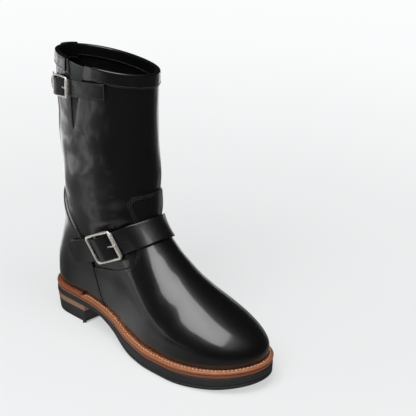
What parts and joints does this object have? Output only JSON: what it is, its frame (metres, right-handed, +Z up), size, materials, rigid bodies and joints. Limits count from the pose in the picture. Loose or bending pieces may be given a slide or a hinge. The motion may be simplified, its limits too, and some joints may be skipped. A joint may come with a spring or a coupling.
{
  "type": "engineer boot",
  "caption": "Tall black leather engineer boot for the right foot, with a buckled strap over the instep, a buckled strap at the collar and a stacked heel, hollow and open at the top.",
  "frame": {"origin": "middle of the footprint on the floor", "axes": "+X from heel to toe, +Y to the inner side of the right foot, +Z up to the collar"},
  "size_m": [0.307, 0.115, 0.3159],
  "materials": {
    "black_leather": "smooth glossy black leather",
    "welt_leather": "orange tan edge, cream stitches",
    "rand_leather": "reddish brown edge",
    "insole_leather": "plain veg tan",
    "heel_leather": "stacked leather edge",
    "sole_rubber": "matt charcoal rubber",
    "gusset_suede": "dark grey-green suede",
    "nickel": "warm polished nickel"
  },
  "bodies": {
    "root": {"outsole": "sole_rubber", "midsole": "welt_leather", "welt": "welt_leather", "heel_rand": "rand_leather", "insole": "insole_leather", "heel_lift": "heel_leather", "heel_rubber": "sole_rubber", "upper": "black_leather", "vamp": "black_leather", "counter": "black_leather", "collar_binding": "black_leather", "gusset": "gusset_suede", "back_pull": "black_leather", "ankle_strap": "black_leather", "ankle_chape": "black_leather", "ankle_buckle": "nickel", "ankle_roller": "nickel", "ankle_prong": "nickel", "top_strap": "black_leather", "top_strap_base": "black_leather", "top_chape": "black_leather", "top_buckle": "nickel", "top_roller": "nickel", "top_prong": "nickel", "ankle_bar": "nickel", "top_bar": "nickel"}
  },
  "joints": []
}
